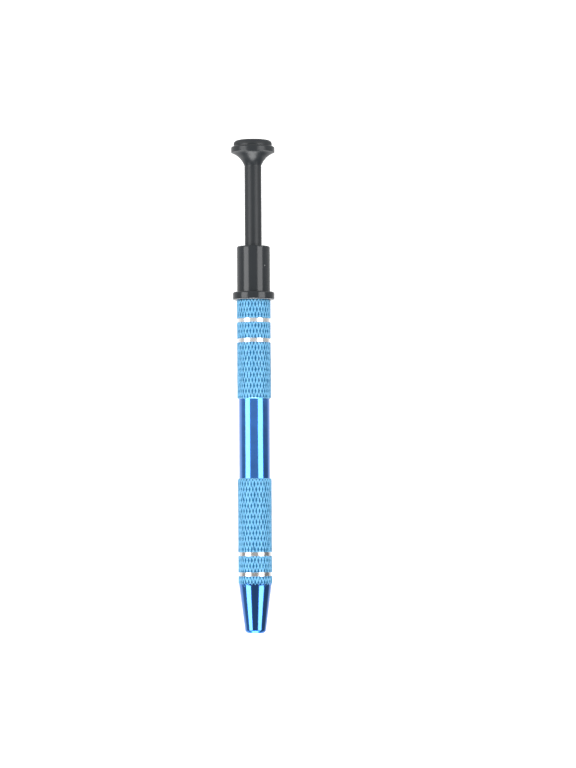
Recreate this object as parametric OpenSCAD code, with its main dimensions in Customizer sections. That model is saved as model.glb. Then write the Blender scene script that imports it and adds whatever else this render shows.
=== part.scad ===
// Four-claw pickup tool: a turned and knurled aluminium barrel with a sprung plunger
// Pressing the button pushes four wire claws out of the nozzle, where they spread, and the spring draws them back
// Lengths run along the tool's axis from the nozzle's mouth, at 0, to the top of the button
// The tool lies on its side, on the first knurl behind the nozzle and on the guide bush's flange

/* [Barrel] */
// Length of the barrel
barrel_len = 79.6; // [75:0.1:95]
// Diameter over the knurl's crests
knurl_d = 8.1; // [8.05:0.05:8.6]
// Diameter of the smooth waist
waist_d = 7.4; // [6.8:0.05:7.45]
// Distance from the mouth to the waist
waist_start = 36.9; // [32:0.1:40]
// Length of the waist
waist_len = 19; // [12:0.1:22]
// Chamfer on the knurl's shoulders beside the waist
shoulder_chamfer = 0.3; // [0.2:0.1:0.3]
// Chamfer on the barrel's top edge
top_chamfer = 0.35; // [0.1:0.05:0.5]

/* [Knurl] */
// Diamonds around the barrel
knurl_count = 31; // [25:1:35]
// Length along the axis from one crossing of the ridges to the next
knurl_step = 1.3; // [1.1:0.05:1.6]
// Depth of the pits below the crests
knurl_depth = 0.2; // [0.1:0.02:0.26]
// Distance from the nozzle's chamfer to the first crossing
knurl_lead = 0.15; // [0.05:0.05:0.25]

/* [Bright rings] */
// Width of a ring groove
ring_w = 0.9; // [0.8:0.1:1.6]
// Depth of a ring groove below the crests
ring_depth = 0.21; // [0.15:0.01:0.3]
// Knurl between the two grooves of a pair
ring_gap = 3.9; // [2.5:0.1:4.5]
// Knurl between the barrel's top and the upper pair
tail_knurl = 4.5; // [3:0.1:6]
// Knurl between the nozzle's chamfer and the lower pair
nose_knurl = 1.6; // [1:0.1:3]

/* [Nozzle] */
// Length of the cone
cone_len = 11.3; // [9:0.1:13]
// Diameter of the cone at its wide end
cone_d = 7.75; // [7:0.05:7.8]
// Diameter of the cone at the mouth, before its edge is rounded
mouth_d = 4.85; // [4.4:0.05:5]
// Length of the chamfer from the cone up to the crests
nose_chamfer_len = 0.7; // [0.4:0.1:1.2]
// Rounding of the mouth's outer edge
mouth_edge_r = 0.4; // [0.2:0.05:0.45]

/* [Inside the barrel] */
// Bore of the nozzle, which guides the claws
nozzle_bore = 3.4; // [3.3:0.05:3.6]
// Bore that holds the spring
spring_bore = 5.4; // [5.3:0.05:5.6]
// Distance from the mouth to the shoulder that carries the spring
spring_seat = 38; // [34:0.5:42]
// Bore at the top, which holds the guide bush
bush_bore = 5.9; // [5.7:0.05:6.1]

/* [Guide bush] */
// Diameter of the flange
flange_d = 10; // [9:0.1:12]
// Thickness of the flange
flange_h = 1.9; // [1.2:0.1:3]
// Diameter of the sleeve
sleeve_d = 7.95; // [7:0.05:8.5]
// Length of the sleeve
sleeve_len = 11; // [8:0.1:14]
// Length of the spigot pressed into the barrel
spigot_len = 6.8; // [5:0.1:8]
// Rounding of the moulded edges
moulding_r = 0.35; // [0.05:0.05:0.5]
// Running clearance of the plunger, each side
rod_clearance = 0.05; // [0.03:0.01:0.1]

/* [Plunger] */
// Diameter of the rod
rod_d = 4.05; // [3.8:0.05:4.4]
// Travel of the button
travel = 16; // [12:0.5:17]
// Bare rod that still shows over the sleeve with the button pressed
rod_left = 3.4; // [2:0.1:6]
// Length of the flare under the button
flare_len = 3.2; // [2.4:0.1:4]
// Radius of the flare's hollow curve
flare_r = 5.2; // [3.6:0.05:7]
// Diameter of the button's rim
rim_d = 10.45; // [9.6:0.05:12]
// Thickness of the rim
rim_h = 1.4; // [1:0.1:2]
// Diameter of the button's cap
cap_d = 9.2; // [7.5:0.05:9.5]
// Height of the cap
cap_h = 1.5; // [1.2:0.1:3]
// Rounding of the cap's top edge
cap_edge_r = 0.9; // [0.3:0.05:1]

/* [Stop collar] */
// Diameter of the collar on the plunger's foot
collar_d = 5.1; // [4.9:0.05:5.2]
// Height of the collar
collar_h = 4; // [3:0.1:5]
// Diameter of the foot that the collar is pressed on
tenon_d = 3.2; // [2.8:0.1:3.4]
// Gap between the collar and the bush while the button is up
stop_gap = 0.1; // [0.05:0.05:0.3]

/* [Return spring] */
// Outer diameter of the spring
spring_d = 4.8; // [4.6:0.05:5]
// Diameter of its wire
spring_wire = 0.5; // [0.4:0.05:0.6]
// Number of turns
spring_turns = 14; // [11:1:17]
// Gap at each end of the spring, and between its closed turns
spring_gap = 0.05; // [0.02:0.01:0.1]

/* [Claw carrier] */
// Diameter of the steel rod from the plunger to the claws
claw_rod_d = 1.8; // [1.6:0.1:2]
// Depth of that rod's socket in the plunger
socket_depth = 8; // [6:0.5:12]
// Diameter of the ferrule on its end
ferrule_d = 3; // [2.8:0.05:3.1]
// Length of rod gripped by the ferrule
ferrule_grip = 2.5; // [2:0.1:5]
// Depth of the ferrule's cup around the claws' roots
cup_depth = 1.3; // [1:0.1:1.6]
// Diameter of the cup at its bottom
cup_bottom_d = 1.64; // [1.58:0.02:1.7]
// Diameter of the cup at its rim
cup_rim_d = 2.3; // [2.2:0.05:2.5]

/* [Claws] */
// Diameter of the claws' wire
wire_d = 0.45; // [0.35:0.05:0.45]
// Distance of each claw's root from the axis
root_r = 0.5; // [0.46:0.01:0.55]
// Straight length from the root
claw_straight = 10; // [8:0.5:12]
// Radius of the long outward bend
claw_bend_r = 27; // [26:1:40]
// Angle of the long outward bend
claw_bend = 12.5; // [8:0.5:13]
// Radius of the hook, to the middle of the wire
hook_r = 0.45; // [0.4:0.05:0.5]
// Angle by which the hook's point turns back up
hook_rise = 10; // [0:1:20]
// Straight length of the hook's point
hook_point = 0.2; // [0.05:0.05:0.2]
// Depth of the drawn-in claws inside the mouth
claw_inset = 0.6; // [0.3:0.1:1.5]

/* [Hidden] */
$fn = 64;

// Radii of the turned and moulded pieces
knurl_r = knurl_d / 2;
waist_r = waist_d / 2;
ring_r = knurl_r - ring_depth;
cone_r = cone_d / 2;
mouth_r = mouth_d / 2;
flange_r = flange_d / 2;
sleeve_r = sleeve_d / 2;
rod_r = rod_d / 2;
rim_r = rim_d / 2;
cap_r = cap_d / 2;
wire_r = wire_d / 2;

// Heights along the axis
knurl_bottom = cone_len + nose_chamfer_len;
knurl_start = knurl_bottom + knurl_lead;
waist_end = waist_start + waist_len;
bush_bottom = barrel_len - spigot_len;
sleeve_bottom = barrel_len + flange_h;
bush_top = sleeve_bottom + sleeve_len;
flare_bottom = bush_top + travel + rod_left;
rim_bottom = flare_bottom + flare_len;
rim_top = rim_bottom + rim_h;
tool_len = rim_top + cap_h;
rod_bottom = bush_bottom - stop_gap;
collar_bottom = rod_bottom - collar_h;
ring_starts = [
    knurl_bottom + nose_knurl,
    knurl_bottom + nose_knurl + ring_w + ring_gap,
    barrel_len - tail_knurl - 2 * ring_w - ring_gap,
    barrel_len - tail_knurl - ring_w
];

// Metal left over the crests until the knurl is cut
spare = 0.05;
blank_r = knurl_r + spare;
// Overlap of a cutter past the surface that it cuts
past = 0.5;

// Claw shape: each point is [distance from the axis, height above the root]
bend_centre = [root_r + claw_bend_r, -claw_straight];
bend_end = bend_centre - claw_bend_r * [cos(claw_bend), sin(claw_bend)];
hook_centre = bend_end - hook_r * [cos(claw_bend), sin(claw_bend)];
hook_end_angle = -90 - hook_rise;
hook_end = hook_centre + hook_r * [cos(hook_end_angle), sin(hook_end_angle)];
claw_lowest = hook_centre[1] - hook_r - wire_r;
claw_root = claw_inset - claw_lowest;

// Ferrule and rod that carry the claws
cup_bottom = claw_root + wire_r + 0.03;
ferrule_bottom = cup_bottom - cup_depth;
ferrule_top = cup_bottom + ferrule_grip;
socket_top = collar_bottom + socket_depth;

// Rest on a flat surface: the line under the tool from the first crests to the flange, or to a wider button
rest_tilt = max(
    atan((flange_r - knurl_r) / (barrel_len + moulding_r - knurl_start)),
    atan((rim_r - knurl_r) / (rim_bottom - knurl_start))
);
axis_height = knurl_r * cos(rest_tilt) - knurl_start * sin(rest_tilt);

// Lays a piece down from upright, with the button toward +Y and its middle over the origin
module laid() {
    translate([0, -tool_len * cos(rest_tilt) / 2, axis_height])
        rotate([rest_tilt - 90, 0, 0])
            children();
}

// Cuts a round edge of radius r at a profile's corner, which points toward +X and to +Y or -Y
module edge_round(corner, r, up = 1) {
    difference() {
        translate([corner[0] - r, up > 0 ? corner[1] - r : corner[1] - past])
            square([r + past, r + past]);
        translate([corner[0] - r, corner[1] - up * r])
            circle(r);
    }
}

// Half section of the barrel as turned and bored
module barrel_profile() {
    cone_half_angle = atan((cone_r - mouth_r) / cone_len);
    edge_x = mouth_r - mouth_edge_r * (1 - sin(cone_half_angle)) / cos(cone_half_angle);
    chamfer_slope = (knurl_r - cone_r) / nose_chamfer_len;
    difference() {
        polygon([
            [nozzle_bore / 2, 0],
            [mouth_r, 0],
            [cone_r, cone_len],
            [blank_r, cone_len + (blank_r - cone_r) / chamfer_slope],
            [blank_r, waist_start - shoulder_chamfer - spare],
            [knurl_r - shoulder_chamfer, waist_start],
            [waist_r, waist_start],
            [waist_r, waist_end],
            [knurl_r - shoulder_chamfer, waist_end],
            [blank_r, waist_end + shoulder_chamfer + spare],
            [blank_r, barrel_len - top_chamfer - spare],
            [knurl_r - top_chamfer, barrel_len],
            [bush_bore / 2, barrel_len],
            [bush_bore / 2, bush_bottom],
            [spring_bore / 2, bush_bottom],
            [spring_bore / 2, spring_seat],
            [nozzle_bore / 2, spring_seat]
        ]);
        difference() {
            polygon([
                [edge_x, -past],
                [mouth_r + past, -past],
                [mouth_r + past, mouth_edge_r],
                [edge_x + mouth_edge_r * cos(cone_half_angle), mouth_edge_r * (1 - sin(cone_half_angle))],
                [edge_x, mouth_edge_r]
            ]);
            translate([edge_x, mouth_edge_r])
                circle(mouth_edge_r);
        }
        for (start = ring_starts)
            translate([ring_r, start])
                square([blank_r - ring_r + past, ring_w]);
    }
}

// Everything outside the knurled surface between two rows of crossings
module knurl_cutter(first_row, last_row) {
    columns = 2 * knurl_count;
    rows = last_row - first_row;
    outer_r = blank_r + past;
    function around(r, column, z) =
        [r * cos(90 + column * 360 / columns), r * sin(90 + column * 360 / columns), z];
    function row_z(row) = knurl_start + (first_row + row) * knurl_step;
    function is_crossing(row, column) = (first_row + row + column) % 2 == 0;
    function at(row, column) = row * columns + column % columns;
    points = [
        for (row = [0:rows], column = [0:columns - 1])
            around(is_crossing(row, column) ? knurl_r : knurl_r - knurl_depth, column, row_z(row)),
        for (row = [0, rows], column = [0:columns - 1])
            around(outer_r, column, row_z(row))
    ];
    low = rows + 1;
    high = rows + 2;
    pit_faces = [
        for (row = [0:rows - 1], column = [0:columns - 1])
            let (a = at(row, column), b = at(row, column + 1), c = at(row + 1, column + 1), d = at(row + 1, column))
                each is_crossing(row, column) ? [[a, b, c], [a, c, d]] : [[a, b, d], [b, c, d]]
    ];
    closing_faces = [
        for (column = [0:columns - 1], pair = [[low, 0], [high, low], [rows, high]])
            let (a = at(pair[0], column), b = at(pair[0], column + 1),
                 c = at(pair[1], column + 1), d = at(pair[1], column))
                each [[a, b, c], [a, c, d]]
    ];
    polyhedron(points, concat(pit_faces, closing_faces));
}

module barrel() {
    color("dodgerblue")
        laid()
            difference() {
                rotate_extrude()
                    barrel_profile();
                knurl_cutter(
                    floor((cone_len - knurl_start) / knurl_step),
                    ceil((waist_start - knurl_start) / knurl_step)
                );
                knurl_cutter(
                    floor((waist_end - knurl_start) / knurl_step),
                    ceil((barrel_len - knurl_start) / knurl_step)
                );
            }
}

module guide_bush() {
    color("dimgray")
        laid()
            rotate_extrude()
                difference() {
                    polygon([
                        [rod_r + rod_clearance, bush_bottom],
                        [bush_bore / 2, bush_bottom],
                        [bush_bore / 2, barrel_len],
                        [flange_r, barrel_len],
                        [flange_r, sleeve_bottom],
                        [sleeve_r, sleeve_bottom],
                        [sleeve_r, bush_top],
                        [rod_r + rod_clearance, bush_top]
                    ]);
                    edge_round([flange_r, barrel_len], moulding_r, up = -1);
                    edge_round([flange_r, sleeve_bottom], moulding_r);
                    edge_round([sleeve_r, bush_top], moulding_r);
                }
}

// Half section of the plunger: button, flare, rod, and the foot with its socket
module plunger_profile() {
    flare_chord = [rim_r - rod_r, flare_len];
    half_chord = norm(flare_chord) / 2;
    flare_centre = [rod_r, flare_bottom] + flare_chord / 2
        + sqrt(flare_r * flare_r - half_chord * half_chord) / norm(flare_chord)
            * [flare_chord[1], -flare_chord[0]];
    difference() {
        polygon([
            [0, socket_top],
            [claw_rod_d / 2, socket_top],
            [claw_rod_d / 2, collar_bottom],
            [tenon_d / 2, collar_bottom],
            [tenon_d / 2, rod_bottom],
            [rod_r, rod_bottom],
            [rod_r, flare_bottom],
            [rim_r, rim_bottom],
            [rim_r, rim_top],
            [cap_r, rim_top],
            [cap_r, tool_len],
            [0, tool_len]
        ]);
        intersection() {
            translate([rod_r, flare_bottom])
                square(flare_chord);
            translate(flare_centre)
                circle(flare_r);
        }
        edge_round([rim_r, rim_top], moulding_r);
        edge_round([cap_r, tool_len], cap_edge_r);
    }
}

module plunger() {
    color("dimgray")
        laid()
            rotate_extrude()
                plunger_profile();
}

module stop_collar() {
    color("silver")
        laid()
            rotate_extrude()
                translate([tenon_d / 2, collar_bottom])
                    square([(collar_d - tenon_d) / 2, collar_h]);
}

module claw_rod() {
    color("silver")
        laid()
            translate([0, 0, cup_bottom])
                cylinder(d = claw_rod_d, h = socket_top - cup_bottom);
}

module claw_ferrule() {
    color("goldenrod")
        laid()
            rotate_extrude()
                polygon([
                    [cup_rim_d / 2, ferrule_bottom],
                    [ferrule_d / 2, ferrule_bottom],
                    [ferrule_d / 2, ferrule_top],
                    [claw_rod_d / 2, ferrule_top],
                    [claw_rod_d / 2, cup_bottom],
                    [cup_bottom_d / 2, cup_bottom]
                ]);
}

// Wire of round section along a path: across[i] is a unit vector square to the path at point i
module wire(path, across, radii, sides) {
    last = len(path) - 1;
    points = [
        for (i = [0:last])
            let (ahead = path[min(i + 1, last)] - path[max(i - 1, 0)], third = cross(ahead / norm(ahead), across[i]))
                for (side = [0:sides - 1])
                    path[i] + radii[i] * (cos(360 * side / sides) * across[i] + sin(360 * side / sides) * third)
    ];
    side_faces = [
        for (i = [0:last - 1], side = [0:sides - 1])
            let (a = i * sides + side, b = i * sides + (side + 1) % sides)
                each [[a, a + sides, b + sides], [a, b + sides, b]]
    ];
    end_faces = [
        [for (side = [0:sides - 1]) side],
        [for (side = [sides - 1:-1:0]) last * sides + side]
    ];
    polyhedron(points, concat(side_faces, end_faces));
}

// Compression spring with a closed turn at each end
module return_spring() {
    steps = 16;
    coil_r = (spring_d - spring_wire) / 2;
    bottom = spring_seat + spring_gap + spring_wire / 2;
    height = collar_bottom - spring_gap - spring_wire / 2 - bottom;
    closed = spring_wire + spring_gap;
    function coil_z(turn) =
        turn < 1 ? closed * turn :
        turn > spring_turns - 1 ? height - closed * (spring_turns - turn) :
        closed + (height - 2 * closed) * (turn - 1) / (spring_turns - 2);
    stations = [0:spring_turns * steps];
    outward = [for (i = stations) [cos(360 * i / steps), sin(360 * i / steps), 0]];
    path = [for (i = stations) coil_r * outward[i] + [0, 0, bottom + coil_z(i / steps)]];
    color("lightgray")
        laid()
            wire(path, outward, [for (i = stations) spring_wire / 2], sides = 6);
}

// One claw, bent in the plane of the axis: a round root, a straight, a long outward bend, a hook and its point
module claw(index) {
    dome = [for (a = [75, 50, 25]) [[root_r, wire_r * sin(a)], wire_r * cos(a)]];
    straight = [for (z = [0, -claw_straight]) [[root_r, z], wire_r]];
    bend = [for (i = [1:5]) let (a = claw_bend * i / 5) [bend_centre - claw_bend_r * [cos(a), sin(a)], wire_r]];
    hook = [
        for (i = [1:8])
            let (a = claw_bend + (hook_end_angle - claw_bend) * i / 8)
                [hook_centre + hook_r * [cos(a), sin(a)], wire_r]
    ];
    tip = [[hook_end + hook_point * [sin(hook_end_angle), -cos(hook_end_angle)], wire_r / 2]];
    outline = concat(dome, straight, bend, hook, tip);
    color("silver")
        laid()
            rotate([0, 0, 90 * index - 45])
                translate([0, 0, claw_root])
                    wire(
                        [for (station = outline) [station[0][0], 0, station[0][1]]],
                        [for (station = outline) [0, 1, 0]],
                        [for (station = outline) station[1]],
                        sides = 10
                    );
}

barrel();
guide_bush();
plunger();
stop_collar();
claw_rod();
claw_ferrule();
return_spring();
claw(1);  // claw_1
claw(2);  // claw_2
claw(3);  // claw_3
claw(4);  // claw_4
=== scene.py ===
import bmesh, bpy
from math import cos, pi, radians, sin, tan
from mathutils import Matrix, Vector


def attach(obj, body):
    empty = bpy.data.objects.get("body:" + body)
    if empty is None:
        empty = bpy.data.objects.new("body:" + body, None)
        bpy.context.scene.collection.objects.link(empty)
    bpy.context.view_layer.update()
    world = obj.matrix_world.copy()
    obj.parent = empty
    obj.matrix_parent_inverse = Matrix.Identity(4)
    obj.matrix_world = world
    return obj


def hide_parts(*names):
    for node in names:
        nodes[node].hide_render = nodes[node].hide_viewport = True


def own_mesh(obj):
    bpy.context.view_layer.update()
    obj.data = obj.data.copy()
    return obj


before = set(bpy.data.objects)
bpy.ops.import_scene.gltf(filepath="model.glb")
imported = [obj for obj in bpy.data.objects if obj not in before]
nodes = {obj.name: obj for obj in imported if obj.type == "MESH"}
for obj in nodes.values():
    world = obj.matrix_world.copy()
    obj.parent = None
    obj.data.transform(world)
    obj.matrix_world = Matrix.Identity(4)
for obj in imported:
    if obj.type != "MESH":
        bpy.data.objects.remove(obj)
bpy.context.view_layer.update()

mm = 0.001  # in metres

# how the tool lies: the middle of its mouth in mm, and how its axis rises to the button in degrees
lying = {"mouth": (0, -58.99421, 3.87938), "rise": 0.802764}
mouthPlace = Vector(lying["mouth"]) * mm
layingTurn = (radians(lying["rise"] - 90), 0, 0)


# pieces are modelled upright in mm, with the mouth at the origin and the button up
def only(piece):  # selects one piece and nothing else
    bpy.ops.object.select_all(action="DESELECT")
    piece.select_set(True)
    bpy.context.view_layer.objects.active = piece


def pick(kind, test):  # in edit mode, selects the "verts" or "edges" that pass a test
    mesh = bmesh.from_edit_mesh(bpy.context.object.data)
    bpy.ops.mesh.select_mode(type=kind[:-1].upper())
    bpy.ops.mesh.select_all(action="DESELECT")
    for item in getattr(mesh, kind):
        if test(item):
            item.select_set(True)
    bmesh.update_edit_mesh(bpy.context.object.data)


def pull(x=0, y=0, z=0):  # extrudes the selected edges
    bpy.ops.mesh.extrude_edges_move(TRANSFORM_OT_translate={"value": (x, y, z)})


def stretch(size, middle):  # resizes the selection about a point
    bpy.ops.transform.resize(value=size, center_override=middle)


def applyPlace():
    bpy.ops.object.transform_apply(location=True, rotation=True, scale=True)


def smooth(angle):  # smooths all but the edges that are sharper than the angle
    bpy.ops.object.shade_smooth_by_angle(angle=radians(angle))


def startPiece(name):  # names the new primitive and opens it in edit mode
    piece = bpy.context.object
    piece.name = piece.data.name = name
    only(piece)
    applyPlace()
    bpy.ops.object.mode_set(mode="EDIT")
    return piece


def closePiece(angle=35, gap=0.0005):  # welds the seams and turns all faces outwards
    bpy.ops.mesh.select_all(action="SELECT")
    bpy.ops.mesh.remove_doubles(threshold=gap)
    bpy.ops.mesh.normals_make_consistent(inside=False)
    bpy.ops.object.mode_set(mode="OBJECT")
    smooth(angle)


def lay(piece, body, slot, *stoodFor):  # lays a piece down in metres, and says what carries it
    only(piece)
    piece.scale = (mm,) * 3
    piece.rotation_euler = layingTurn
    piece.location = mouthPlace
    applyPlace()
    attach(piece, body)
    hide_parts(*stoodFor)
    return piece


class Signal:  # one socket of a node tree, so that shader maths reads as plain sums
    def __init__(self, tree, socket=None):
        self.tree, self.socket = tree, socket

    def node(self, kind, settings={}, sockets={}, out=0):
        made = self.tree.nodes.new("ShaderNode" + kind)
        for name, value in settings.items():
            setattr(made, name, value)
        for name, value in sockets.items():
            if isinstance(value, Signal):
                self.tree.links.new(value.socket, made.inputs[name])
            else:
                made.inputs[name].default_value = value
        return Signal(self.tree, made.outputs[out])

    def maths(self, operation, first, second):
        return self.node("Math", {"operation": operation}, {0: first, 1: second})

    def __add__(self, other): return self.maths("ADD", self, other)
    def __radd__(self, other): return self.maths("ADD", other, self)
    def __sub__(self, other): return self.maths("SUBTRACT", self, other)
    def __rsub__(self, other): return self.maths("SUBTRACT", other, self)
    def __mul__(self, other): return self.maths("MULTIPLY", self, other)
    def __rmul__(self, other): return self.maths("MULTIPLY", other, self)
    def __pow__(self, other): return self.maths("POWER", self, other)

    def rise(self, low, high):  # 0 below low, 1 above high
        return self.node("MapRange", {"interpolation_type": "SMOOTHSTEP"},
                         {"Value": self, "From Min": low, "From Max": high})

    def within(self, low, high, soft=0.02):  # 1 between low and high
        half = soft / 2
        return self.rise(low - half, low + half) * (1 - self.rise(high - half, high + half))

    def outside(self, low, high):  # distance beyond the stretch from low to high
        return self.maths("MAXIMUM", low - self, self - high)

    def least(self, other):
        return self.maths("MINIMUM", self, other)

    def mix(self, first, second):  # of two colours, with this as the share of the second
        return self.node("Mix", {"data_type": "RGBA"},
                         {"Factor": self, "A": first, "B": second}, out=2)

    def noise(self, scale, detail):  # this is the place
        return self.node("TexNoise", sockets={"Vector": self, "Scale": scale, "Detail": detail})

    def lines(self, scale, detail):  # noise along this one direction
        return self.node("TexNoise", {"noise_dimensions": "1D"},
                         {"W": self * scale, "Detail": detail})

    def part(self, i):  # x, y or z
        return self.node("SeparateXYZ", sockets={"Vector": self}, out=i)


def between(share, ends):  # from the first end to the second
    return ends[0] + share * (ends[1] - ends[0])


def newFinish(name):  # an empty material and its shader
    material = bpy.data.materials.new(name)
    material.use_nodes = True
    tree = material.node_tree
    tree.nodes.clear()
    shader = tree.nodes.new("ShaderNodeBsdfPrincipled")
    output = tree.nodes.new("ShaderNodeOutputMaterial")
    tree.links.new(shader.outputs[0], output.inputs[0])
    return material, shader, Signal(tree)


def feed(shader, sockets):  # sets or links the shader's sockets
    for name, value in sockets.items():
        if isinstance(value, Signal):
            value.tree.links.new(value.socket, shader.inputs[name])
        else:
            shader.inputs[name].default_value = value


def toolPlace(wires):  # mm in the tool's own frame: z runs from the mouth to the button
    here = wires.node("TexCoord", out="Object")
    return here.node("Mapping", {"vector_type": "TEXTURE"},
                     {"Vector": here, "Location": mouthPlace, "Rotation": layingTurn,
                      "Scale": (mm,) * 3})


def fromAxis(place):  # distance from the tool's axis
    return (place.part(0) ** 2.0 + place.part(1) ** 2.0) ** 0.5


def relief(height):  # a bump whose height is in mm
    return height.node("Bump", sockets={"Strength": 1.0, "Distance": mm, "Height": height})


def dress(material, *pieces):
    for piece in pieces:
        piece.data.materials.clear()
        piece.data.materials.append(material)


# barrel: a turned blank, with the knurl cut into it; radii, and heights above the mouth
barrel = {"length": 79.6, "crest": 4.05, "blank": 4.1, "sides": 128,
          "waist": 3.7, "waistFrom": 36.9, "waistTo": 55.9, "shoulder": 0.3, "topChamfer": 0.15,
          "mouth": 2.425, "cone": 3.875, "coneLength": 11.3, "chamferLength": 0.7,
          "lip": 1.4, "lipTurn": (65, 25), "lipSteps": 8,
          "lipLoop": 0.08, "coneLoop": 10.6,  # loops near the cone's ends keep its shading even
          "nozzleBore": 1.7, "springBore": 2.7, "springSeat": 38,
          "bushBore": 2.95, "bushFrom": 72.8,
          "ringFloor": 3.81, "ringWidth": 0.9, "rings": (13.6, 18.4, 69.4, 74.2)}
noseSlope = (barrel["crest"] - barrel["cone"]) / barrel["chamferLength"]

# knurl: cells that each hold four half diamonds, cut by a tube for each of its two stretches
knurl = {"around": 31, "cell": 2.6, "outer": 4.6, "uneven": 0.02,
         "parts": ((9.55, 12), (53.75, 11)),  # where a tube starts, and its rows of cells
         "steps": ((0.055, -0.006), (0.05, -0.024), (0.05, -0.047), (0.055, -0.062),
                   (0.06, -0.031)),  # from a diamond's rim into its pit: how far in, and how deep
         "same": 0.001, "inside": 0.005}  # what counts as in line, and as inside the crests


def coneRadius(z):
    return barrel["mouth"] + (barrel["cone"] - barrel["mouth"]) * z / barrel["coneLength"]


def chamferRadius(z):  # of the chamfer that joins the cone to the knurl
    return barrel["cone"] + (z - barrel["coneLength"]) * noseSlope


def arc(middle, radius, start, stop, steps):  # points of a profile's arc, angles in degrees
    angles = [radians(start + (stop - start) * i / steps) for i in range(steps + 1)]
    return [(middle[0] + radius * cos(a), middle[1] + radius * sin(a)) for a in angles]


def groove(start):
    top, floor, end = barrel["blank"], barrel["ringFloor"], start + barrel["ringWidth"]
    return [(top, start), (floor, start), (floor, end), (top, end)]


def lipOutline():  # a soft lip from the mouth's flat end to the cone
    b = barrel
    steep, shallow = b["lipTurn"]
    height = b["lip"] * (sin(radians(steep)) - sin(radians(shallow)))
    middle = (coneRadius(height) - b["lip"] * cos(radians(shallow)),
              b["lip"] * sin(radians(steep)))
    loop = height + b["lipLoop"]
    return arc(middle, b["lip"], -steep, -shallow, b["lipSteps"]) + [(coneRadius(loop), loop)]


def barrelOutline():  # (radius, height) points, up the outside and back down the bore
    b = barrel
    over = b["blank"] - b["crest"]
    shoulderRadius, topRadius = b["crest"] - b["shoulder"], b["crest"] - b["topChamfer"]
    points = [(b["nozzleBore"], 0)] + lipOutline()
    points += [(coneRadius(z), z) for z in (b["coneLoop"], b["coneLength"])]
    points += [(b["blank"], b["coneLength"] + (b["blank"] - b["cone"]) / noseSlope)]
    for start in b["rings"][:2]:
        points += groove(start)
    points += [(b["blank"], b["waistFrom"] - b["shoulder"] - over),
               (shoulderRadius, b["waistFrom"]),
               (b["waist"], b["waistFrom"]),
               (b["waist"], b["waistTo"]),
               (shoulderRadius, b["waistTo"]),
               (b["blank"], b["waistTo"] + b["shoulder"] + over)]
    for start in b["rings"][2:]:
        points += groove(start)
    points += [(b["blank"], b["length"] - b["topChamfer"] - over),
               (topRadius, b["length"]),
               (b["bushBore"], b["length"]),
               (b["bushBore"], b["bushFrom"]),
               (b["springBore"], b["bushFrom"]),
               (b["springBore"], b["springSeat"]),
               (b["nozzleBore"], b["springSeat"]),
               (b["nozzleBore"], 0)]
    return points


def turnedBlank(name, outline, sides):  # the outline ends where it starts, so the blank is closed
    bpy.ops.mesh.primitive_circle_add(vertices=sides, radius=outline[0][0],
                                      location=(0, 0, outline[0][1]))
    piece = startPiece(name)
    for (r0, z0), (r1, z1) in zip(outline, outline[1:]):
        pull(z=z1 - z0)
        stretch((r1 / r0, r1 / r0, 1), (0, 0, z1))
    closePiece()
    return piece


def knurlCutter(start, rows):  # everything outside the knurled surface, as a tube
    crest, uneven, same = barrel["crest"], knurl["uneven"], knurl["same"]
    height = rows * knurl["cell"]
    bpy.ops.mesh.primitive_cylinder_add(vertices=knurl["around"], radius=crest, depth=height,
                                        location=(0, 0, start + height / 2),
                                        end_fill_type="NOTHING")
    piece = startPiece("knurlCutter")
    upright = lambda edge: (edge.verts[0].co - edge.verts[1].co).xy.length < same
    level = lambda edge: abs(edge.verts[0].co.z - edge.verts[1].co.z) < same
    widen = lambda share: stretch((share, share, 1), (0, 0, 0))
    pick("edges", upright)
    bpy.ops.mesh.subdivide(number_cuts=rows - 1)
    bpy.ops.mesh.select_all(action="SELECT")
    bpy.ops.mesh.poke()
    pick("verts", lambda vert: vert.co.xy.length < crest - knurl["inside"])
    widen(1 / cos(pi / knurl["around"]))  # brings the cells' middles out to the crests
    pick("edges", lambda edge: (upright(edge) or level(edge)) and not edge.is_boundary)
    bpy.ops.mesh.dissolve_edges(use_verts=False)  # leaves the diamonds
    pick("verts", lambda vert: not vert.is_boundary)
    bpy.ops.transform.vertex_random(offset=uneven, uniform=1.0, normal=0.0, seed=rows)
    widen(1 - uneven / crest)  # so that no crest stands past its size
    bpy.ops.mesh.select_mode(type="FACE")
    bpy.ops.mesh.select_all(action="SELECT")
    for wide, deep in knurl["steps"]:
        bpy.ops.mesh.inset(thickness=wide, depth=deep, use_individual=True)
    pick("edges", lambda edge: edge.is_boundary)
    pull()
    widen(knurl["outer"] / crest)
    bpy.ops.mesh.bridge_edge_loops()
    closePiece()
    return piece


def cutAway(piece, cutter):
    only(piece)
    bpy.ops.object.modifier_add(type="BOOLEAN")
    cut = piece.modifiers[-1]
    cut.operation, cut.solver, cut.object = "DIFFERENCE", "EXACT", cutter
    bpy.ops.object.modifier_apply(modifier=cut.name)
    bpy.data.objects.remove(cutter)


# cleaning the cut barrel: how near is welded, and how far off still counts as the turned nose
clean = {"weld": 0.001, "off": 0.004, "sideways": 0.04, "slope": 0.1, "above": 1, "smooth": 32}


def onNose(face):  # a face of the cone, or of the chamfer between cone and knurl
    middle, normal = face.calc_center_median(), face.normal
    radius = middle.xy.length
    off = min(abs(radius - coneRadius(middle.z)), abs(radius - chamferRadius(middle.z)))
    sideways = abs(normal.x * middle.y - normal.y * middle.x) / radius
    return off < clean["off"] and sideways < clean["sideways"] and normal.z < -clean["slope"]


def knurlEdge(edge):  # an edge where the knurl ends on the nose
    near = barrel["coneLoop"] < edge.verts[0].co.z < barrel["coneLength"] + clean["above"]
    return near and sum(onNose(face) for face in edge.link_faces) == 1


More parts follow.
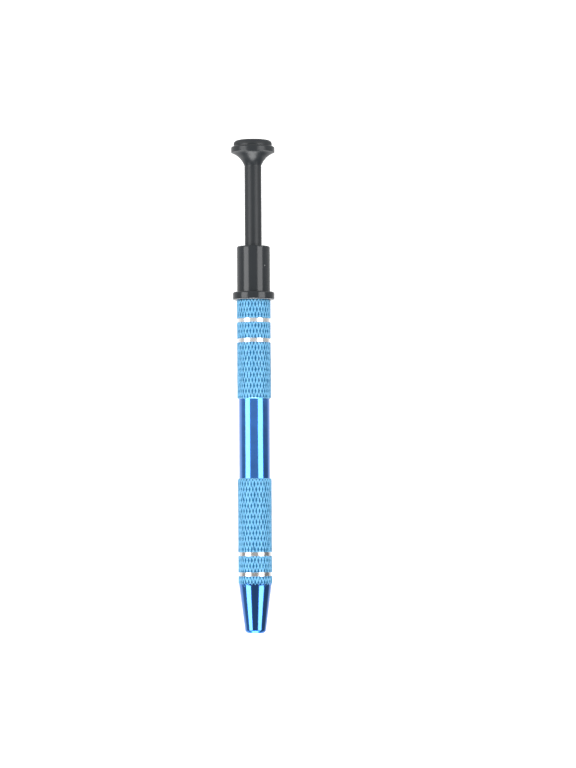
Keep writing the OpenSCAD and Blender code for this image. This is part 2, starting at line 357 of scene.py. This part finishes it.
barrelPiece = turnedBlank("knurledBarrel", barrelOutline(), barrel["sides"])
for start, rows in knurl["parts"]:
    cutAway(barrelPiece, knurlCutter(start, rows))
only(barrelPiece)
bpy.ops.object.mode_set(mode="EDIT")
bpy.ops.mesh.select_all(action="SELECT")
bpy.ops.mesh.remove_doubles(threshold=clean["weld"])  # welds the slivers that the cuts leave
bpy.ops.mesh.dissolve_degenerate(threshold=clean["weld"])
bpy.ops.mesh.quads_convert_to_tris(quad_method="BEAUTY", ngon_method="BEAUTY")
pick("edges", knurlEdge)
bpy.ops.mesh.mark_sharp()
bpy.ops.object.mode_set(mode="OBJECT")
smooth(clean["smooth"])
lay(barrelPiece, "barrel", "blue_anodised", "barrel")
print("barrel:", len(barrelPiece.data.polygons), "faces")


# return spring: a closed turn at each end, open turns between
spring = {"middle": 2.15, "wire": 0.25, "wireSides": 12, "bottom": 38.3, "top": 68.4, "turns": 14,
          "closedRise": 0.55, "steps": 32, "travel": 16, "seat": 38.05, "gap": 0.002, "smooth": 60}


def springTurns(height, turns, rise):
    bpy.ops.mesh.primitive_circle_add(vertices=spring["wireSides"], radius=spring["wire"],
                                      location=(spring["middle"], 0, height),
                                      rotation=(radians(90), 0, 0))
    piece = bpy.context.object
    only(piece)
    applyPlace()
    bpy.ops.object.modifier_add(type="SCREW")
    coil = piece.modifiers[-1]
    coil.axis, coil.angle, coil.screw_offset, coil.iterations = "Z", 2 * pi, rise, turns
    coil.steps = coil.render_steps = spring["steps"]
    bpy.ops.object.modifier_apply(modifier=coil.name)
    return piece


openFrom = spring["bottom"] + spring["closedRise"]
openTurns = spring["turns"] - 2
openRise = (spring["top"] - spring["bottom"] - 2 * spring["closedRise"]) / openTurns
coils = [springTurns(spring["bottom"], 1, spring["closedRise"]),
         springTurns(openFrom, openTurns, openRise),
         springTurns(spring["top"] - spring["closedRise"], 1, spring["closedRise"])]
only(coils[0])
for part in coils:
    part.select_set(True)
bpy.ops.object.join()
springPiece = startPiece("returnSpring")
bpy.ops.mesh.select_all(action="SELECT")
bpy.ops.mesh.remove_doubles(threshold=spring["gap"])
pick("edges", lambda edge: edge.is_boundary)
bpy.ops.mesh.edge_face_add()  # closes the wire's two ends
closePiece(spring["smooth"])
lay(springPiece, "barrel", "spring_steel", "return_spring")
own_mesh(springPiece)
print("spring:", len(springPiece.data.polygons), "faces")


# claws: drawn wire with a long outward bend, and a small hook turned in at the end
claw = {"wire": 0.225, "sides": 24, "rootOut": 0.5, "root": 17.2163, "rootSteps": 5, "stepTurn": 15,
        "straight": 10, "bendRadius": 27, "bend": 12.5, "bendSteps": 14,
        "hookRadius": 0.45, "hook": 112.5, "hookSteps": 18, "smooth": 40,
        "point": ((0.08, 0.9), (0.06, 0.75), (0.04, 0.6), (0.02, 0.5)),  # how far on, how thick
        "count": 4, "firstTurn": 45}


def bentClaw(name):
    c = claw
    x, z, wire = c["rootOut"], c["root"], c["wire"]
    outward = lambda angle: Vector((cos(angle), 0, sin(angle)))
    bpy.ops.mesh.primitive_circle_add(vertices=c["sides"], radius=wire, location=(x, 0, z))
    piece = startPiece(name)
    turns = [radians(i * c["stepTurn"]) for i in range(c["rootSteps"] + 1)]
    for a, b in zip(turns, turns[1:]):  # rounded root
        pull(z=wire * (sin(b) - sin(a)))
        stretch((cos(b) / cos(a), cos(b) / cos(a), 1), (x, 0, z + wire * sin(b)))
    bpy.ops.mesh.edge_face_add()
    pick("edges", lambda edge: edge.is_boundary)
    pull(z=-c["straight"])
    bend, hook = radians(c["bend"]), radians(c["hook"])
    bendMiddle = Vector((x + c["bendRadius"], 0, z - c["straight"]))
    bpy.ops.mesh.spin(steps=c["bendSteps"], angle=bend, center=bendMiddle, axis=(0, 1, 0))
    hookMiddle = bendMiddle - (c["bendRadius"] + c["hookRadius"]) * outward(bend)
    bpy.ops.mesh.spin(steps=c["hookSteps"], angle=-hook, center=hookMiddle, axis=(0, 1, 0))
    end = radians(c["bend"] - c["hook"])
    tip = hookMiddle + c["hookRadius"] * outward(end)
    ahead, size = Vector((sin(end), 0, -cos(end))), 1
    for step, share in c["point"]:
        pull(*(ahead * step))
        tip += ahead * step
        stretch((share / size,) * 3, tip)
        size = share
    bpy.ops.mesh.edge_face_add()
    closePiece(c["smooth"])
    return piece


firstClaw = bentClaw("clawPattern")
clawPieces = []
for i in range(1, claw["count"] + 1):
    piece = firstClaw.copy()
    piece.data = firstClaw.data.copy()
    piece.name = piece.data.name = f"bentClaw{i}"
    bpy.context.collection.objects.link(piece)
    only(piece)
    piece.rotation_euler = (0, 0, radians(claw["firstTurn"] + 360 / claw["count"] * (i - 1)))
    applyPlace()
    clawPieces.append(lay(piece, f"claw_{i}", "spring_steel", f"claw_{i}"))
bpy.data.objects.remove(firstClaw)
print("claws:", len(clawPieces), "of", len(clawPieces[0].data.polygons), "faces")


# in the looks below, a noise has its scale for each mm and its detail, and a length is in mm
# anodised blue, bare in the ring grooves, with painted shade that makes the knurl darker in its
# pits than on its ridges
# the knurl's finish ends at the radii of "core", and the rings' at those of "bore"
blueLook = {"plain": (0.037, 0.26, 0.84, 1), "cloud": (0.028, 0.22, 0.75, 1),
            "clouds": (0.35, 3.0), "rough": 0.12, "coatRough": 0.1, "coatIor": 1.65,
            "turning": (9.0, 3.0), "turningDepth": 0.0012, "waves": (0.22, 1.0), "waveDepth": 0.05,
            # the knurl's ridge colour, and a darker colour for its pits that is painted shade
            "ridge": (0.170, 0.460, 0.705, 1), "pitShade": (0.012, 0.120, 0.265, 1),
            "knurlRough": 0.54, "knurlCoat": 0.3, "knurlEdge": 0.02, "core": (3.5, 3.6),
            "grain": (2.6, 3.0), "grainDepth": 0.07, "grainShift": 0.10,
            "patches": (1.3, 2.0), "patchShift": 0.26, "pitShadeFrom": (0.05, 0.165),
            "turned": (0.005, 0.02),  # where the nose is cut less deep than this, it is smooth
            "bare": (0.84, 0.83, 0.82, 1), "bareRough": 0.17, "bareEdge": 0.01, "bore": (3.0, 3.1),
            "lip": (0.64, 0.70), "lipRough": 0.3, "lipCoat": 0.25}


def blueAnodised():
    look, b = blueLook, barrel
    material, shader, wires = newFinish("blueAnodisedAluminium")
    place = toolPlace(wires)
    z, radius = place.part(2), fromAxis(place)
    noseTop = b["coneLength"] + b["chamferLength"]

    bare = 0.0
    for start in b["rings"]:
        end = start + b["ringWidth"]
        bare = z.within(start - look["bareEdge"], end + look["bareEdge"]) + bare
    bare = bare * radius.rise(*look["bore"])

    # depth below the skin that the turned blank has before it is knurled
    shoulder = b["crest"] - b["shoulder"] + z.outside(b["waistFrom"], b["waistTo"])
    top = b["crest"] - b["topChamfer"] + (b["length"] - z)
    skin = shoulder.least(chamferRadius(z)).least(top).least(b["crest"])
    depth = skin - radius

    turned = z.within(-1, noseTop) * (1 - depth.rise(*look["turned"]))  # -1: below the mouth
    turned = z.within(b["waistFrom"], b["waistTo"]) + turned
    starts = z.rise(b["coneLength"], b["coneLength"] + look["knurlEdge"])
    knurled = (1 - turned) * starts * radius.rise(*look["core"]) * (1 - bare)
    lip = 1 - z.rise(*look["lip"])

    grain, patches = place.noise(*look["grain"]), place.noise(*look["patches"])
    shifts = (grain - 0.5) * look["grainShift"], (patches - 0.5) * look["patchShift"]
    # share of the ridge colour: deeper in the knurl it gives way to the pit colour, which is
    # painted shade
    crest = 1 - (depth - shifts[0] - shifts[1]).rise(*look["pitShadeFrom"])
    plain = place.noise(*look["clouds"]).mix(look["plain"], look["cloud"])
    colour = knurled.mix(plain, crest.mix(look["pitShade"], look["ridge"]))
    colour = bare.mix(colour, look["bare"])

    roughness = look["rough"] + knurled * (look["knurlRough"] - look["rough"])
    roughness = roughness + bare * (look["bareRough"] - look["rough"])
    roughness = roughness + lip * (look["lipRough"] - look["rough"])
    coat = 1 - bare - knurled * (1 - look["knurlCoat"]) - lip * (1 - look["lipCoat"])

    turning = z.lines(*look["turning"]) * look["turningDepth"]
    waves = place.noise(*look["waves"]) * look["waveDepth"]
    height = (turning + waves) * (1 - knurled) + grain * look["grainDepth"] * knurled
    feed(shader, {"Base Color": colour, "Metallic": 1.0, "Roughness": roughness,
                  "Normal": relief(height), "Coat Weight": coat,
                  "Coat Roughness": look["coatRough"], "Coat IOR": look["coatIor"]})
    return material


# black plastic: glossy bush, duller plunger, one speck of dust on the bush's sleeve, and a painted
# highlight along the flange's lower edge
plasticLook = {"dark": (0.013, 0.016, 0.019, 1), "cloud": (0.017, 0.020, 0.023, 1),
               "clouds": (0.4, 4.0), "grain": (1.2, 3.0), "grainDepth": 0.006, "ior": 1.43,
               "rough": 0.14, "roughClouds": (1.5, 3.0), "roughMore": 0.05,
               "dust": (0.30, 0.30, 0.30, 1), "dustRough": 0.4,
               "speck": (2.75, -2.86, 87.7), "speckSize": (0.06, 0.16),
               # rod, flare and rim: where each starts and ends, and its roughness
               "stretches": ((92.5, 111.7, 0.4), (111.7, 115.2, 0.32), (115.2, 116.8, 0.26)),
               "soft": 0.1, "cap": (116.75, 116.85), "capRough": 0.5,
               # a painted highlight: a pale line round the flange's lower edge, by how far out and
               # how high it lies
               "edge": (0.20, 0.21, 0.22, 1), "highlightOut": (4.66, 4.74),
               "highlightFrom": (79.61, 79.64), "highlightTo": (79.72, 79.78),
               # the flare's shaded hollow
               "hollow": (3.2, 5.1), "hollowDepth": 0.38, "hollowFrom": (100, 101),
               "hollowTo": (115.12, 115.18)}


def blackPlastic():
    look = plasticLook
    material, shader, wires = newFinish("blackPlastic")
    place = toolPlace(wires)
    z, radius = place.part(2), fromAxis(place)

    away = place.node("VectorMath", {"operation": "DISTANCE"}, {0: place, 1: look["speck"]},
                      out="Value")
    dust = 1 - away.rise(*look["speckSize"])
    # the painted highlight along the flange's lower edge
    edge = (radius - z + barrel["length"]).rise(*look["highlightOut"])
    edge = edge * z.rise(*look["highlightFrom"]) * (1 - z.rise(*look["highlightTo"]))
    colour = place.noise(*look["clouds"]).mix(look["dark"], look["cloud"])
    colour = edge.mix(dust.mix(colour, look["dust"]), look["edge"])

    roughness = look["rough"] + place.noise(*look["roughClouds"]) * look["roughMore"]
    roughness = roughness + dust * look["dustRough"]
    for low, high, rough in look["stretches"]:
        roughness = roughness + z.within(low, high, look["soft"]) * (rough - look["rough"])
    roughness = roughness + z.rise(*look["cap"]) * (look["capRough"] - look["rough"])

    flare = (1 - radius.rise(*look["hollow"])).least(1 - z.rise(*look["hollowTo"]))
    hollow = (1 - flare) * z.rise(*look["hollowFrom"])
    height = place.noise(*look["grain"]) * look["grainDepth"] - hollow * look["hollowDepth"]
    feed(shader, {"Base Color": colour, "Roughness": roughness, "IOR": look["ior"],
                  "Normal": relief(height)})
    return material


# bright metals: drawn or turned, with faint lines
metalLook = {"steel": ((0.50, 0.50, 0.51, 1), (0.68, 0.68, 0.69, 1)),
             "brass": ((0.62, 0.42, 0.16, 1), (0.78, 0.57, 0.26, 1)),
             "clouds": (3.0, 4.0), "rough": 0.18, "roughMore": 0.12,
             "turning": (12.0, 2.0), "turningDepth": 0.001}


def brightMetal(name, colours):
    look = metalLook
    material, shader, wires = newFinish(name)
    place = toolPlace(wires)
    drawn = place.noise(*look["clouds"])
    turning = place.part(2).lines(*look["turning"]) * look["turningDepth"]
    feed(shader, {"Base Color": drawn.mix(*colours), "Metallic": 1.0,
                  "Roughness": look["rough"] + drawn * look["roughMore"],
                  "Normal": relief(turning)})
    return material


dress(blueAnodised(), barrelPiece)
dress(blackPlastic(), nodes["guide_bush"], nodes["plunger"])
dress(brightMetal("brightSteel", metalLook["steel"]),
      springPiece, nodes["claw_rod"], *clawPieces)
dress(brightMetal("turnedBrass", metalLook["brass"]),
      nodes["stop_collar"], nodes["claw_ferrule"])
print("finishes done")


# floor, two long soft boxes beside the tool, and a third before its mouth
studio = {"floor": 0.85, "glow": 0.5, "floorRough": 0.9, "floorSize": 4, "floorDrop": 0.02,
          "distance": 0.45,
          # angle and width in degrees, length and place along the tool in mm, radiance
          "left": (-51, 35, 400, -45, 4.4), "right": (46.5, 36, 400, -45, 4.0),
          # angle in degrees, place aside in mm, height and width in degrees, radiance
          "front": (84, -18, 52, 38, 10.5)}

bpy.ops.mesh.primitive_plane_add(size=studio["floorSize"],
                                 location=(0, 0, -studio["floorDrop"] * mm))
floor = bpy.context.object
floor.name = "floor"
floor.visible_glossy = False
material, shader = newFinish("paleFloor")[:2]
feed(shader, {"Base Color": (studio["floor"],) * 3 + (1,), "Roughness": studio["floorRough"],
              "Specular IOR Level": 0.0, "Emission Color": (1, 1, 1, 1),
              "Emission Strength": studio["glow"]})
dress(material, floor)


def softBox(name, shape, place, turn, width, length, radiance):
    bpy.ops.object.light_add(type="AREA", location=place, rotation=turn)
    light = bpy.context.object
    light.name = name + "Box"
    light.visible_camera = False
    light.data.shape, light.data.size, light.data.size_y = shape, width, length
    light.data.energy = radiance * pi * width * length * (pi / 4 if shape == "ELLIPSE" else 1)


def spreadWidth(degrees):  # of a box that spans an angle, seen from the tool
    return 2 * studio["distance"] * tan(radians(degrees / 2))


far = studio["distance"]
for name in ("left", "right"):
    angle, spread, length, along, radiance = studio[name]
    a = radians(angle)
    softBox(name, "RECTANGLE", (far * sin(a), along * mm, far * cos(a)), (0, a, 0),
            spreadWidth(spread), length * mm, radiance)
angle, aside, tall, wide, radiance = studio["front"]
a = radians(angle)
softBox("front", "ELLIPSE", (aside * mm, -far * sin(a), far * cos(a)), (a, 0, 0),
        spreadWidth(wide), spreadWidth(tall), radiance)

# the room that the gloss sees: pairs of strengths, from left to right or from the mouth's end to
# the button's, and the stretches of direction, from -1 to 1, where one passes into the other
room = {"sides": (-0.4, 0.4),
        "ceiling": (0.18, 0.95), "ceilingEnds": (-0.1, 0.13), "ceilingFrom": (0.25, 0.6),
        "horizon": ((0.30, 0.16), (1.1, 1.05)), "horizonEnds": (-0.005, 0.14),
        "below": ((0.95, 0.75), (1.1, 1.0)), "belowDeep": (-0.95, -0.5),
        "belowFrom": (-0.5, -0.3), "belowTurn": 0.1, "belowFront": 1.0, "frontFrom": (0.3, 0.7)}

world = bpy.data.worlds.new("room")
bpy.context.scene.world = world
world.use_nodes = True
world.node_tree.nodes.clear()
sky = Signal(world.node_tree)
direction = sky.node("TexCoord", out="Generated")
across, along, up = (direction.part(i) for i in range(3))
side = across.rise(*room["sides"])

ceiling = between(along.rise(*room["ceilingEnds"]), room["ceiling"])
horizon = [between(side, ends) for ends in room["horizon"]]
horizon = between(along.rise(*room["horizonEnds"]), horizon)
below = [between(side, ends) for ends in room["below"]]
below = between(1 - up.rise(*room["belowDeep"]), below)
below = below * (1 + (0 - along).rise(*room["frontFrom"]) * room["belowFront"])
strength = between(up.rise(*room["ceilingFrom"]), (horizon, ceiling))
downward = 1 - (up + across * room["belowTurn"]).rise(*room["belowFrom"])
strength = between(downward, (strength, below))
seen = sky.node("LightPath", out="Is Camera Ray")
strength = strength * (1 - seen) + seen  # plain white behind the tool
back = sky.node("Background", sockets={"Color": (1, 1, 1, 1), "Strength": strength})
output = world.node_tree.nodes.new("ShaderNodeOutputWorld")
world.node_tree.links.new(back.socket, output.inputs[0])

# camera: its place in mm, its turns in degrees, its lens and sensor in mm
view = {"over": (7.83, -41.5, 724.3), "tilt": 3.334, "roll": -0.37, "lens": 141.17, "sensor": 36,
        "near": 0.01}
bpy.ops.object.camera_add(location=Vector(view["over"]) * mm,
                          rotation=(radians(view["tilt"]), 0, radians(view["roll"])))
camera = bpy.context.object
camera.data.lens, camera.data.sensor_width = view["lens"], view["sensor"]
camera.data.clip_start = view["near"]
bpy.context.scene.camera = camera
bpy.context.scene.view_settings.view_transform = "Standard"
print("stage done")
